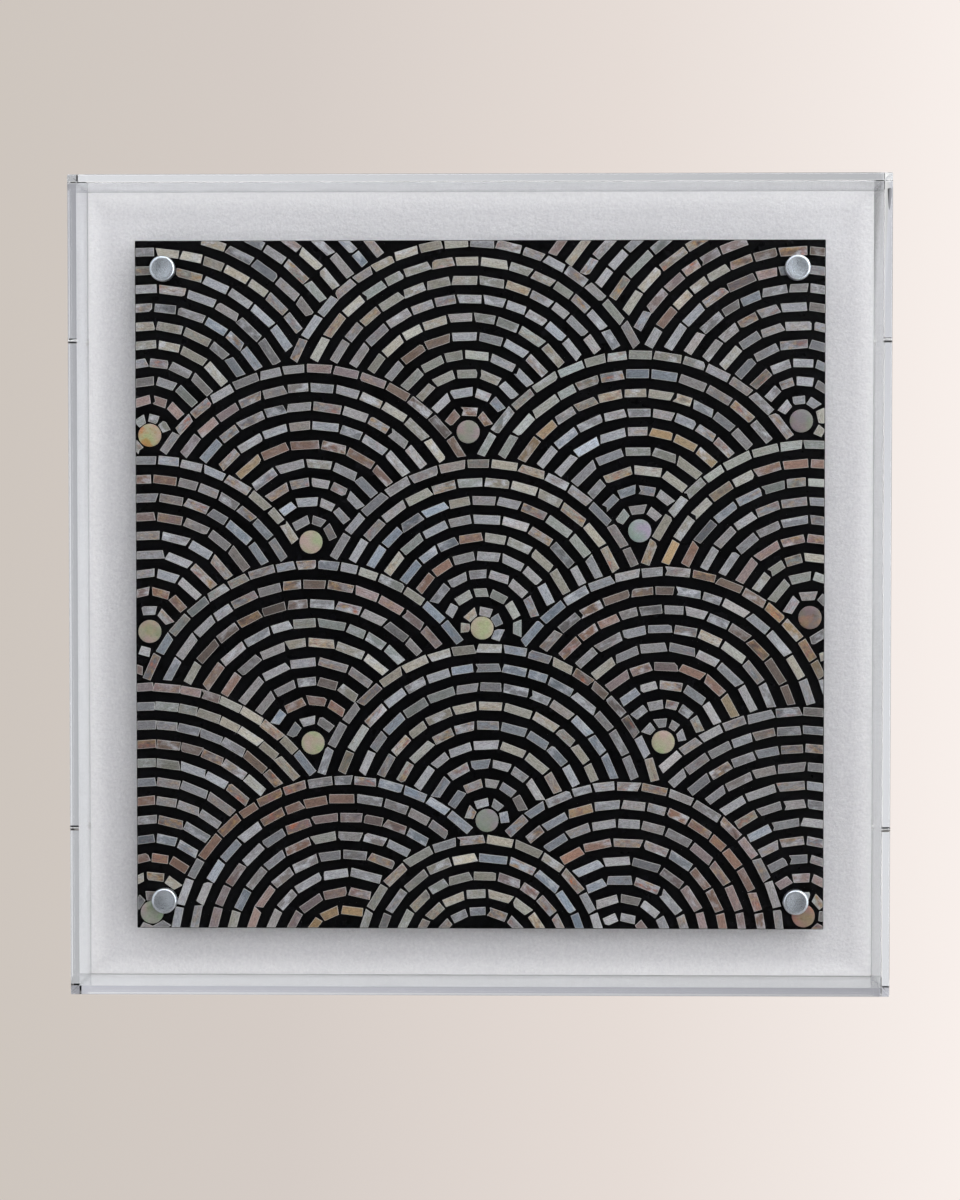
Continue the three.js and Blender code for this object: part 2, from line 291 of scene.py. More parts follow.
def eased(shape, width, segments=2):
    """Rounds the sharp edges of a bmesh."""
    sharp_angle = math.radians(50)
    sharp = [e for e in shape.edges
             if len(e.link_faces) == 2 and e.calc_face_angle(0) > sharp_angle]
    bmesh.ops.bevel(shape, geom=sharp, offset=width, offset_type="OFFSET", segments=segments,
                    profile=0.5, affect="EDGES", clamp_overlap=True)


def as_mesh(shape, name, smooth_angle=35):
    """A bmesh as a mesh, with smooth shading except at sharp edges and round large flat faces."""
    large_to_small = 12
    bmesh.ops.remove_doubles(shape, verts=shape.verts, dist=1e-7)
    bmesh.ops.recalc_face_normals(shape, faces=shape.faces)
    for face in shape.faces:
        face.smooth = True
    for edge in shape.edges:
        areas = [face.calc_area() for face in edge.link_faces]
        alike = len(areas) == 2 and max(areas) < large_to_small * min(areas)
        edge.smooth = alike and edge.calc_face_angle(0) < math.radians(smooth_angle)
    mesh = bpy.data.meshes.new(name)
    shape.to_mesh(mesh)
    shape.free()
    return mesh


def turned(profile, sides):
    """A turned shape about the Y axis from pairs of radius and Y, closed on the axis."""
    shape = bmesh.new()
    rings = []
    for radius, y in profile:
        if radius == 0:
            rings.append([shape.verts.new((0, y, 0))])
            continue
        rings.append([shape.verts.new((radius * math.cos(2 * math.pi * i / sides), y,
                                       radius * math.sin(2 * math.pi * i / sides)))
                      for i in range(sides)])
    for first, second in zip(rings, rings[1:]):
        for i in range(sides):
            corners = [first[i % len(first)], first[(i + 1) % len(first)],
                       second[(i + 1) % len(second)], second[i % len(second)]]
            unique = list(dict.fromkeys(corners))
            if len(unique) > 2:
                shape.faces.new(unique)
    bmesh.ops.recalc_face_normals(shape, faces=shape.faces)
    return shape


def evaluated_mesh(thing):
    """The mesh of an object as its modifiers leave it."""
    depsgraph = bpy.context.evaluated_depsgraph_get()
    return bpy.data.meshes.new_from_object(thing.evaluated_get(depsgraph))


def cut_away(mesh, cutters):
    """The mesh with each of the cutter meshes taken out of it."""
    body = placed("body", mesh)
    tools = [placed("tool", cutter) for cutter in cutters]
    for tool in tools:
        cut = body.modifiers.new("cut", "BOOLEAN")
        cut.operation = "DIFFERENCE"
        cut.solver = "EXACT"
        cut.object = tool
    shape = bmesh.new()
    shape.from_mesh(evaluated_mesh(body))
    for thing in [body, *tools]:
        bpy.data.objects.remove(thing)
    return as_mesh(shape, mesh.name)


board_low, board_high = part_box("mosaic_board")
shell_thickness = 1.6 * MM
board_front = board_low.y + shell_thickness
standoff_places = []
corner_names = ("top_left", "top_right", "bottom_left", "bottom_right")
for corner in corner_names:
    low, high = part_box("standoff_cap_" + corner)
    standoff_places.append(((low.x + high.x) / 2, 0, (low.z + high.z) / 2))
stud_hole_radius = 3.3 * MM
board_shape = block((board_low.x, board_front, board_low.z), board_high)
eased(board_shape, 0.5 * MM)
board_cutters = []
for x, y, z in standoff_places:
    drill = turned([(0, board_high.y + MM), (stud_hole_radius, board_high.y + MM),
                    (stud_hole_radius, board_front - MM), (0, board_front - MM)], 24)
    bmesh.ops.translate(drill, vec=(x, 0, z), verts=drill.verts)
    board_cutters.append(as_mesh(drill, "drill"))
black_board_mesh = cut_away(as_mesh(board_shape, "black_board"), board_cutters)
black_finish, tree, shader = new_finish("satin_black")
place = object_place(tree)
feed(shader.inputs["Base Color"],
     ramp(grain(place, 90, 6), [(0.3, shade(2, 2, 4)), (0.7, shade(7, 7, 10))]))
feed(shader.inputs["Roughness"], ramp(grain(place, 400, 4), [(0.3, 0.14), (0.7, 0.20)]))
shader.inputs["Specular IOR Level"].default_value = 0.08
relief(shader, grain(place, 900, 4, 0.6), 0.0003, 0.5)
new_piece("black_board", black_board_mesh, black_finish, ["mosaic_board"])


# Shell tiles. Flat sawn pieces of mother-of-pearl, about 6 mm wide and 6 to 22 mm long, laid by
# hand in courses that follow overlapping waves and bonded to the black board. Runs of tiles
# come from one shell, so neighbours share a tint, and ends and corners are often chipped.
course_width = 7.2 * MM
tile_width = 6.2 * MM
course_gap = 1.0 * MM
course_margin = 0.8 * MM
disc_radius = 8.6 * MM
disc_gap = 0.6 * MM
disc_margin = 1.9 * MM
tile_gap = 1.95 * MM
tile_longest = 21.5 * MM
tile_sagitta = 0.95 * MM
tile_smallest_area = 15 * MM * MM
search_steps = 1440
small_turn = 0.01
shortest_run = 4.5 * MM
corner_reach = 0.5

# Lengths as shares of the longest that the bend allows, and how much the bend widens a gap
shortest_share, usual_share, last_share = 0.55, 0.85, 0.45
bend_gap, bend_most = 0.25, 0.8

# How far tiles stray in their place, their turn and their corners, and how some are broken
tile_shift = 0.25 * MM
tile_tilt = math.radians(1.4)
end_skew = 1.2 * MM
corner_error_along, corner_error_across = 0.2 * MM, 0.18 * MM
chipped_share, notched_share = 0.16, 0.03
chip_least, chip_most = 0.7 * MM, 2.4 * MM
notch_least, notch_most = 0.8 * MM, 2.0 * MM
notch_reach = 1.5 * MM
narrower, wider = 0.35 * MM, 0.3 * MM
thinnest_share = 0.82

# Waves from back to front: name, centre across and up as a share of the way to where a disc has
# its margin, first and last radius in mm, number of courses, and the width of the last course
# as a share of the full round. A wave in bare_waves has no disc.
wave_shapes = [
    ("corner_left", -0.998, 0.455, 12.9, 220.2, 16, 1),
    ("corner_right", 0.97, 0.497, 15.9, 224.2, 16, 1),
    ("top_centre", -0.034, 0.465, 15.7, 141.5, 10, 1),
    ("upper_left", -0.51, 0.132, 16.5, 130.2, 9, 1),
    ("upper_right", 0.484, 0.166, 16.5, 132, 9, 1),
    ("middle_left", -1, -0.139, 15.9, 129, 9, 1),
    ("middle_centre", 0.008, -0.128, 12.9, 123.4, 9, 1),
    ("middle_right", 0.998, -0.096, 16.7, 129.8, 9, 1),
    ("lower_left", -0.505, -0.477, 17.2, 134.3, 9, 1),
    ("lower_right", 0.556, -0.473, 14.4, 128.3, 9, 1),
    ("bottom_left", -0.996, -0.994, 12.9, 170.5, 12, 0.91),
    ("bottom_right", 0.981, -1, 15.2, 153.9, 11, 1),
    ("bottom_centre", 0.023, -0.712, 13.6, 129.8, 9, 1),
    ("edge_left", -0.403, -1.117, 32.6, 131, 8, 1),
    ("edge_right", 0.431, -1.089, 20.5, 119.9, 8, 1),
    ("edge_centre", 0.005, -1.141, 37.9, 92, 5, 1),
]
bare_waves = ("edge_left", "edge_right", "edge_centre")
centre_x = board_high.x - disc_radius - disc_margin
centre_z = board_high.z - disc_radius - disc_margin
waves = [{"name": name, "x": across * centre_x, "z": up * centre_z, "first": first * MM,
          "last": last * MM, "courses": courses, "narrow": narrow, "order": order}
         for order, (name, across, up, first, last, courses, narrow) in enumerate(wave_shapes)]
disc_waves = [wave for wave in waves if wave["name"] not in bare_waves]


def wave_width(wave, radius):
    return 1 - (1 - wave["narrow"]) * radius / wave["last"]


def course_point(wave, radius, angle):
    return (wave["x"] + radius * math.cos(angle) * wave_width(wave, radius),
            wave["z"] + radius * math.sin(angle))


def clear_of_wave(point, wave):
    across = (point[0] - wave["x"]) / wave_width(wave, wave["last"])
    return math.hypot(across, point[1] - wave["z"]) > wave["last"] + course_width / 2 + course_gap


def course_shows(wave, radius, angle):
    """True where a course is on the board and clear of the waves in front and of other discs."""
    half = course_width / 2
    x, z = course_point(wave, radius, angle)
    if abs(x) > board_high.x + half or abs(z) > board_high.z + half:
        return False
    for edge in (-half, 0, half):
        point = course_point(wave, radius + edge, angle)
        if not all(clear_of_wave(point, other) for other in waves[wave["order"] + 1:]):
            return False
        if any(math.hypot(point[0] - other["x"], point[1] - other["z"]) < disc_radius + disc_gap
               for other in disc_waves if other is not wave):
            return False
    return True


def course_stretches(wave, radius):
    """Stretches of a course that show, as pairs of angles from straight below the centre."""
    step = 2 * math.pi / search_steps
    stretches, start = [], None
    for i in range(search_steps + 1):
        angle = -math.pi / 2 + i * step
        shows = i < search_steps and course_shows(wave, radius, angle)
        if shows and start is None:
            start = angle
        if not shows and start is not None:
            stretches.append((start, angle - step))
            start = None
    return stretches


def clipped(outline, half_width, half_height):
    """An outline cut off at the edges of the field of tiles."""
    for axis, sign, limit in ((0, 1, half_width), (0, -1, half_width),
                              (1, 1, half_height), (1, -1, half_height)):
        kept = []
        for i, point in enumerate(outline):
            before = outline[i - 1]
            inside = sign * point[axis] <= limit
            was_inside = sign * before[axis] <= limit
            if inside != was_inside:
                share = (sign * limit - before[axis]) / (point[axis] - before[axis])
                kept.append(tuple(b + share * (p - b) for b, p in zip(before, point)))
            if inside:
                kept.append(point)
        outline = kept
        if len(outline) < 3:
            return []
    return outline


def area_of(outline):
    return sum(a[0] * b[1] - b[0] * a[1] for a, b in zip(outline, outline[1:] + outline[:1])) / 2


def inwards_at(outline, i):
    """The way and distance that a corner moves when every side of the outline moves in by one."""
    before, here, after = outline[i - 1], outline[i], outline[(i + 1) % len(outline)]
    first = (Vector(here) - Vector(before)).normalized()
    second = (Vector(after) - Vector(here)).normalized()
    normals = Vector((-first.y, first.x)), Vector((-second.y, second.x))
    middle = (normals[0] + normals[1]).normalized()
    return middle / max(middle.dot(normals[0]), corner_reach)


rng = random.Random(4620)


def tile_outline(length, width, turn):
    """A sawn tile seen from the front: a near rectangle with a skewed, chipped or notched end."""
    keystone = width / 2 * math.tan(turn / 2) * rng.uniform(0.2, 0.9)
    skews = [rng.uniform(-1, 1) ** 3 * end_skew + end * keystone for end in (-1, 1)]
    corners = []
    for end, side in ((-1, -1), (1, -1), (1, 1), (-1, 1)):
        skew = skews[(end + 1) // 2] * side
        corners.append((end * length / 2 + skew + rng.uniform(-1, 1) * corner_error_along,
                        side * width / 2 + rng.uniform(-1, 1) * corner_error_across))
    if rng.random() < chipped_share:
        chipped = rng.randrange(4)
        here = Vector(corners[chipped])
        corners[chipped:chipped + 1] = [
            tuple(here + (Vector(other) - here).normalized() * rng.uniform(chip_least, chip_most))
            for other in (corners[chipped - 1], corners[(chipped + 1) % 4])]
    elif rng.random() < notched_share:
        depth = rng.uniform(notch_least, notch_most)
        corners[2:2] = [(length / 2 - depth, rng.uniform(-notch_reach, notch_reach))]
    return corners


def gap_at(radius):
    """The gap between two tiles at mid width, wider where the course bends more."""
    return tile_gap + bend_gap * tile_width * min(longest_at(radius) / radius, bend_most)


def longest_at(radius):
    return min(tile_longest, math.sqrt(8 * radius * tile_sagitta))


def tile_lengths(run, radius):
    """Lengths of the tiles that fill a run, shorter where the course bends more."""
    longest, gap = longest_at(radius), gap_at(radius)
    lengths = []
    while sum(lengths) + len(lengths) * gap < run:
        lengths.append(longest * rng.triangular(shortest_share, 1.0, usual_share))
    left = run - sum(lengths[:-1]) - (len(lengths) - 1) * gap
    if len(lengths) > 1 and left < last_share * longest:
        lengths.pop()
    spread = (run - (len(lengths) - 1) * gap) / sum(lengths)
    return [length * spread for length in lengths]


# Tints of shell, as they show in soft light, with how common each is
tints = {
    "silver": ((146, 146, 150), 30),
    "dove": ((125, 123, 126), 24),
    "blue_grey": ((121, 128, 138), 9),
    "green_grey": ((134, 136, 131), 9),
    "cream": ((156, 151, 140), 15),
    "rose": ((129, 112, 111), 6),
    "rust": ((124, 96, 84), 4),
    "umber": ((98, 83, 75), 3),
    "honey": ((148, 125, 94), 2),
}
tint_names = list(tints)
# Waves whose shell is warmer or cooler than the rest
wave_warmth = {"edge_left": 0.45, "edge_right": 0.4, "lower_left": 0.1, "bottom_left": 0.25,
               "middle_left": 0.25, "corner_left": 0.05, "corner_right": 0.15,
               "upper_right": -0.1, "lower_right": 0.15, "bottom_right": -0.1}
warm_tints = ("rose", "rust", "umber", "honey")
warmth_weight, coolest = 4, -0.2

# How tiles of one tint differ: brightness, red against blue, and how spotted they are
light_spread = 0.12
drift_middle, drift_spread = -1.0, 2.5
warm_spots, other_spots = 2.0, 1.25
longest_tint_run = 5


def run_tint(warmth):
    """The tint of a run of tiles cut from one shell."""
    weights = []
    for name in tint_names:
        weight = tints[name][1]
        if name in warm_tints:
            weight *= 1 + warmth_weight * max(warmth, coolest)
        weights.append(weight)
    return rng.choices(tint_names, weights)[0]


tile_points, tile_faces, tile_inwards = [], [], []
tile_marks = {"tint": [], "blotch": [], "sheen": [], "share": [], "start": [], "way": []}
for wave in waves:
    step = (wave["last"] - wave["first"]) / (wave["courses"] - 1)
    for course in range(wave["courses"]):
        radius = wave["first"] + course * step
        run_left, tint_name = 0, "dove"
        for start, end in course_stretches(wave, radius):
            run = (end - start) * radius
            if run < shortest_run:
                continue
            angle = start
            for length in tile_lengths(run, radius):
                turn = length / radius
                middle = angle + turn / 2
                angle += turn + gap_at(radius) / radius
                if run_left <= 0:
                    tint_name = run_tint(wave_warmth.get(wave["name"], 0))
                    run_left = rng.randint(1, longest_tint_run)
                run_left -= 1
                sink = length * length / (8 * radius) / 2
                centre = Vector(course_point(wave, radius - sink + rng.uniform(-1, 1) * tile_shift,
                                             middle))
                ahead = Vector(course_point(wave, radius, middle + small_turn))
                behind = Vector(course_point(wave, radius, middle - small_turn))
                lengthways = (ahead - behind).normalized()
                lengthways.rotate(Matrix.Rotation(rng.uniform(-1, 1) * tile_tilt, 2))
                out = Vector((lengthways.y, -lengthways.x))
                width = tile_width + rng.uniform(-narrower, wider)
                outline = [tuple(centre + lengthways * u + out * v)
                           for u, v in tile_outline(length, width, turn)]
                outline = clipped(outline, board_high.x - course_margin,
                                  board_high.z - course_margin)
                if len(outline) < 3 or abs(area_of(outline)) < tile_smallest_area:
                    continue
                if area_of(outline) < 0:
                    outline.reverse()
                first = len(tile_points)
                tile_points += [(x, board_front, z) for x, z in outline]
                tile_inwards += [inwards_at(outline, i) for i in range(len(outline))]
                tile_faces.append(list(range(first, first + len(outline))))
                base = tints[tint_name][0]
                lighter = rng.gauss(1.0, light_spread)
                drift = rng.gauss(drift_middle, drift_spread)
                colour = shade(*[min(max(part * lighter + change, 0), 255)
                                 for part, change in zip(base, (drift, 0, -drift))])
                tile_marks["tint"].append(colour)
                spots = rng.random() ** 4 * (warm_spots if tint_name in warm_tints else other_spots)
                tile_marks["blotch"].append(min(spots, 1.0))
                tile_marks["share"].append(rng.uniform(thinnest_share, 1.0))
                # How strongly the tile carries the painted sheen
                tile_marks["sheen"].append(rng.random() ** 2)
                tile_marks["start"].append([rng.uniform(0, 3) for _ in range(3)])
                tile_marks["way"].append((lengthways.x, 0, lengthways.y))

tile_field = bpy.data.meshes.new("tile_field")
tile_field.from_pydata(tile_points, [], tile_faces)
mark = tile_field.attributes.new("inwards", "FLOAT_VECTOR", "POINT")
mark.data.foreach_set("vector", [part for way in tile_inwards for part in (way.x, 0, way.y)])
mark = tile_field.attributes.new("tint", "FLOAT_COLOR", "FACE")
mark.data.foreach_set("color", [part for colour in tile_marks["tint"] for part in colour])
for name in ("blotch", "sheen", "share"):
    mark = tile_field.attributes.new(name, "FLOAT", "FACE")
    mark.data.foreach_set("value", tile_marks[name])

# A map along and across each tile, so that its grain follows it, with a start of its own
grain_map = tile_field.uv_layers.new(name="along_tile")
map_scale = 10
for polygon in tile_field.polygons:
    lengthways = Vector(tile_marks["way"][polygon.index])
    across = Vector((-lengthways.z, 0, lengthways.x))
    start = tile_marks["start"][polygon.index]
    for corner in polygon.loop_indices:
        point = Vector(tile_points[tile_field.loops[corner].vertex_index])
        grain_map.data[corner].uv = (point.dot(lengthways) * map_scale + start[0],
                                     point.dot(across) * map_scale + start[1])


def new_tree(name, sockets):
    """A geometry tree with a mesh in and out and the named sizes as its inputs."""
    tree = bpy.data.node_groups.new(name, "GeometryNodeTree")
    for way in ("INPUT", "OUTPUT"):
        tree.interface.new_socket("Geometry", in_out=way, socket_type="NodeSocketGeometry")
    keys = {}
    for label, kind in sockets:
        item = tree.interface.new_socket(label, in_out="INPUT", socket_type="NodeSocket" + kind)
        keys[label] = item.identifier
    return tree, tree.nodes.new("NodeGroupInput"), tree.nodes.new("NodeGroupOutput"), keys


def plain_result(name, mesh, tree, values):
    """The mesh that a tree makes from another one with these values, by socket identifier."""
    holder = placed(name, mesh)
    modifier = holder.modifiers.new(name, "NODES")
    modifier.node_group = tree
    for key, value in values.items():
        modifier[key] = value
    result = evaluated_mesh(holder)
    bpy.data.objects.remove(holder)
    return result


def named(tree, name, kind):
    """A field that reads a mark of the mesh."""
    node = new_node(tree, "GeometryNodeInputNamedAttribute", {"Name": name}, data_type=kind)
    return node.outputs["Attribute"]


def dress(tree, geometry, enter, leave):
    """Ends a tree: copies made real, and all of it in the material that the tree is given."""
    realized = new_node(tree, "GeometryNodeRealizeInstances", {"Geometry": geometry})
    dressed = new_node(tree, "GeometryNodeSetMaterial", {
        "Geometry": realized.outputs["Geometry"], "Material": enter.outputs["Material"]})
    feed(leave.inputs["Geometry"], dressed.outputs["Geometry"])


def raised(tree, geometry, height, selection=True):
    """Each chosen face pulled out on its own by a height, with its top and sides as selections."""
    return new_node(tree, "GeometryNodeExtrudeMesh", {
        "Mesh": geometry, "Offset Scale": height, "Individual": True, "Selection": selection},
        mode="FACES")


tile_tree, enter, leave, keys = new_tree("sawn_tiles", [
    ("Thickness", "Float"), ("Rim height", "Float"), ("Rim width", "Float"),
    ("Material", "Material")])
height = math_of("MULTIPLY", named(tile_tree, "share", "FLOAT"), enter.outputs["Thickness"])
height = math_of("SUBTRACT", height, enter.outputs["Rim height"])
walls = raised(tile_tree, enter.outputs["Geometry"], height)
rims = raised(tile_tree, walls.outputs["Mesh"], enter.outputs["Rim height"],
              walls.outputs["Top"])
draw_in = new_node(tile_tree, "GeometryNodeSetPosition", {
    "Geometry": rims.outputs["Mesh"], "Selection": rims.outputs["Top"],
    "Offset": scaled(named(tile_tree, "inwards", "FLOAT_VECTOR"), enter.outputs["Rim width"])})
mark_rim = new_node(tile_tree, "GeometryNodeStoreNamedAttribute", {
    "Geometry": draw_in.outputs["Geometry"], "Name": "rim", "Value": rims.outputs["Side"]},
    domain="FACE", data_type="FLOAT")
underside = new_node(tile_tree, "GeometryNodeFlipFaces", {"Mesh": enter.outputs["Geometry"]})
whole = new_node(tile_tree, "GeometryNodeJoinGeometry", {"Geometry": underside.outputs["Mesh"]})
feed(whole.inputs["Geometry"], mark_rim.outputs["Geometry"])
closed = new_node(tile_tree, "GeometryNodeMergeByDistance", {
    "Geometry": whole.outputs["Geometry"], "Distance": 0.002 * MM})
dress(tile_tree, closed.outputs["Geometry"], enter, leave)


def mark_value(tree, name, output="Fac"):
    """A mark of the mesh, read by a shader."""
    return new_node(tree, "ShaderNodeAttribute", attribute_name=name).outputs[output]


pearl_finish, tree, shader = new_finish("mother_of_pearl")
tile_place = new_node(tree, "ShaderNodeUVMap", uv_map="along_tile").outputs["UV"]
cloud = ramp(grain(tile_place, 22, 4, 0.6, (0.6, 1.3, 1)), [(0.40, 0.0), (0.62, 1.0)])
spot_share = math_of("MULTIPLY", cloud, mark_value(tree, "blotch"))
spot_colour = ramp(grain(tile_place, 9, 2),
                   [(0.32, shade(172, 96, 60)), (0.42, shade(118, 90, 92)),
                    (0.54, shade(160, 128, 84)), (0.62, shade(104, 72, 60)),
                    (0.70, shade(52, 42, 38))])
colour = blend("MIX", spot_share, mark_value(tree, "tint", "Color"), spot_colour)
# Painted highlight: pale silver patches mixed into some tiles' colour, standing in for the shell's
# sheen
painted_gleam = ramp(grain(tile_place, 14, 3, 0.5, (0.8, 1.2, 1)), [(0.46, 0.0), (0.64, 0.9)])
painted_gleam_share = math_of("MULTIPLY", painted_gleam, mark_value(tree, "sheen"))
colour = blend("MIX", painted_gleam_share, colour, shade(188, 190, 198))
streak = ramp(grain(tile_place, 64, 6, 0.75, (0.5, 1.5, 1)),
              [(0.30, 0.38), (0.5, 0.97), (0.70, 1.42)])
colour = blend("MULTIPLY", 1.0, colour, streak)
fine = ramp(grain(tile_place, 150, 3, 0.6, (0.8, 1.2, 1)),
            [(0.34, 0.70), (0.5, 1.0), (0.66, 1.30)])
colour = blend("MULTIPLY", 1.0, colour, fine)
# The chamfered rims are painted lighter: partly the paler sawn edge of the shell, partly a painted
# highlight
rim_share = math_of("MULTIPLY", mark_value(tree, "rim"), 0.8)
colour = blend("MIX", rim_share, colour, shade(202, 200, 197))
feed(shader.inputs["Base Color"], colour)
feed(shader.inputs["Roughness"], ramp(grain(tile_place, 30, 4), [(0.3, 0.28), (0.7, 0.46)]))
shader.inputs["Specular IOR Level"].default_value = 0.5
pearl_relief = relief(shader, grain(tile_place, 34, 4, 0.6, (0.5, 1.4, 1)), 0.0004, 0.5)
relief(shader, grain(tile_place, 160, 3, 0.6), 0.00012, 0.5, pearl_relief)

tile_mesh = plain_result("shell_tiles", tile_field, tile_tree, {
    keys["Thickness"]: shell_thickness, keys["Rim height"]: 0.14 * MM,
    keys["Rim width"]: 0.27 * MM, keys["Material"]: pearl_finish})
new_piece("shell_tiles", tile_mesh, pearl_finish, ["mosaic_board"])


# Shell discs. Round pieces of thicker, creamier shell at the centres of the waves, turned to one
# size with an eased edge and bonded to the black board.
def lay_out(name, pattern, places, finish, nodes_replaced, turns=None, marks=None):
    """A finished piece from copies of a pattern mesh at places, turned if there are turns."""
    spots = bpy.data.meshes.new(name + "_spots")
    spots.from_pydata(places, [], [])
    turn = spots.attributes.new("turn", "FLOAT_VECTOR", "POINT")
    flat = [part for way in (turns or [(0, 0, 0)] * len(places)) for part in way]
    turn.data.foreach_set("vector", flat)
    for label, colours in (marks or {}).items():
        mark = spots.attributes.new(label, "FLOAT_COLOR", "POINT")
        mark.data.foreach_set("color", [part for colour in colours for part in colour])
    holder = placed(name + "_pattern", pattern)
    tree, enter, leave, keys = new_tree(name + "_laid_out", [("Pattern", "Object"),
                                                             ("Material", "Material")])
    source = new_node(tree, "GeometryNodeObjectInfo", {"Object": enter.outputs["Pattern"]})
    rotation = new_node(tree, "FunctionNodeEulerToRotation",
                        {"Euler": named(tree, "turn", "FLOAT_VECTOR")})
    copies = new_node(tree, "GeometryNodeInstanceOnPoints", {
        "Points": enter.outputs["Geometry"], "Instance": source.outputs["Geometry"],
        "Rotation": rotation.outputs["Rotation"]})
    dress(tree, copies.outputs["Instances"], enter, leave)
    mesh = plain_result(name, spots, tree, {keys["Pattern"]: holder, keys["Material"]: finish})
    bpy.data.objects.remove(holder)
    new_piece(name, mesh, finish, nodes_replaced)


disc_low, disc_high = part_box("shell_disc_top_centre")
disc_edge = 0.35 * MM
disc_shape = turned([(0, disc_high.y), (disc_radius, disc_high.y),
                     (disc_radius, disc_low.y + disc_edge),
                     (disc_radius - disc_edge * 0.3, disc_low.y + disc_edge * 0.3),
                     (disc_radius - disc_edge, disc_low.y),
                     (disc_radius * 0.5, disc_low.y), (0, disc_low.y)], 48)
disc_colours = {
    "corner_left": (168, 158, 134), "corner_right": (120, 118, 122), "top_centre": (140, 134, 134),
    "upper_left": (166, 160, 144), "upper_right": (148, 151, 164), "middle_left": (152, 142, 132),
    "middle_centre": (176, 170, 150), "middle_right": (112, 104, 102),
    "lower_left": (164, 160, 142), "lower_right": (170, 164, 146), "bottom_left": (138, 142, 135),
    "bottom_right": (146, 118, 108), "bottom_centre": (134, 138, 137),
}
faint_spots = 0.08
disc_spots = {"corner_left": 0.85, "bottom_right": 0.35, "middle_right": 0.3, "middle_left": 0.25}
disc_finish, tree, shader = new_finish("cream_shell")
place = object_place(tree)
disc_cloud = ramp(grain(place, 120, 3, 0.5), [(0.46, 0.0), (0.60, 1.0)])
spot_share = math_of("MULTIPLY", disc_cloud, mark_value(tree, "spots"))
colour = blend("MIX", spot_share, mark_value(tree, "tint", "Color"), shade(170, 116, 56))
disc_drift = ramp(grain(place, 75, 2, 0.5),
                  [(0.36, (0.86, 1.06, 0.80, 1)), (0.64, (1.14, 0.93, 1.06, 1))])
colour = blend("MULTIPLY", 1.0, colour, disc_drift)
disc_streak = ramp(grain(place, 500, 5, 0.6, (1, 1, 2)), [(0.3, 0.82), (0.7, 1.14)])
colour = blend("MULTIPLY", 1.0, colour, disc_streak)
feed(shader.inputs["Base Color"], colour)
feed(shader.inputs["Roughness"], ramp(grain(place, 300, 4), [(0.3, 0.25), (0.7, 0.42)]))
relief(shader, grain(place, 350, 4, 0.6), 0.0003, 0.5)
disc_names = [wave["name"] for wave in disc_waves]
lay_out("shell_discs", as_mesh(disc_shape, "disc"),
        [(wave["x"], 0, wave["z"]) for wave in disc_waves], disc_finish,
        ["shell_disc_" + name for name in disc_names],
        marks={"tint": [shade(*disc_colours[name]) for name in disc_names],
               "spots": [(disc_spots.get(name, faint_spots),) * 3 + (1,) for name in disc_names]})


# Standoffs. Turned satin metal: a flat cap with an eased rim and a long stud that goes through
# the mosaic board and a barrel into the white board, and the barrel that keeps the boards apart.
cap_low, cap_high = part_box("standoff_cap_top_left")
barrel_low, barrel_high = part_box("standoff_barrel_top_left")
cap_radius = 9.5 * MM
cap_front = cap_low.y
cap_back = board_low.y - 0.3 * MM
cap_back_edge = 0.3 * MM
stud_radius = 3.0 * MM
barrel_radius = 9.5 * MM
barrel_bore = 3.3 * MM
turned_edge = 0.4 * MM

# The face is dished a little inside its eased rim: shares of the radius with shares of the dish,
# and shares of the rim's width in from the side with depths in mm
dish = 0.22 * MM
rim = 0.72 * MM
dish_profile = [(0, 1), (0.25, 0.9), (0.5, 0.6), (0.7, 0.2)]
rim_profile = [(2.1, 0), (1.5, 0.04), (1, 0.16), (0.4, 0.45), (0, 0.9)]
cap_shape = turned(
    [(cap_radius * out, cap_front + dish * depth) for out, depth in dish_profile]
    + [(cap_radius - rim * share, cap_front + depth * MM) for share, depth in rim_profile]
    + [(cap_radius, cap_back - cap_back_edge), (cap_radius - cap_back_edge, cap_back),
       (stud_radius, cap_back), (stud_radius, cap_high.y - turned_edge),
       (stud_radius - turned_edge, cap_high.y), (0, cap_high.y)], 64)
barrel_shape = turned([
    (barrel_bore, barrel_high.y), (barrel_bore, barrel_low.y),
    (barrel_radius - turned_edge, barrel_low.y), (barrel_radius, barrel_low.y + turned_edge),
    (barrel_radius, barrel_high.y - turned_edge), (barrel_radius - turned_edge, barrel_high.y),
    (barrel_bore, barrel_high.y)], 48)


def turning_map(mesh):
    """A map round the axis and out from it, so that the turning marks run in circles."""
    layer = mesh.uv_layers.new(name="turning")
    map_scale = 100
    for polygon in mesh.polygons:
        home = math.atan2(polygon.center.z, polygon.center.x)
        for corner in polygon.loop_indices:
            point = mesh.vertices[mesh.loops[corner].vertex_index].co
            out = math.hypot(point.x, point.z)
            angle = math.atan2(point.z, point.x) if out > 1e-6 else home
            angle = home + math.remainder(angle - home, 2 * math.pi)
            layer.data[corner].uv = (angle / (2 * math.pi) + 0.5, (out + point.y) * map_scale)


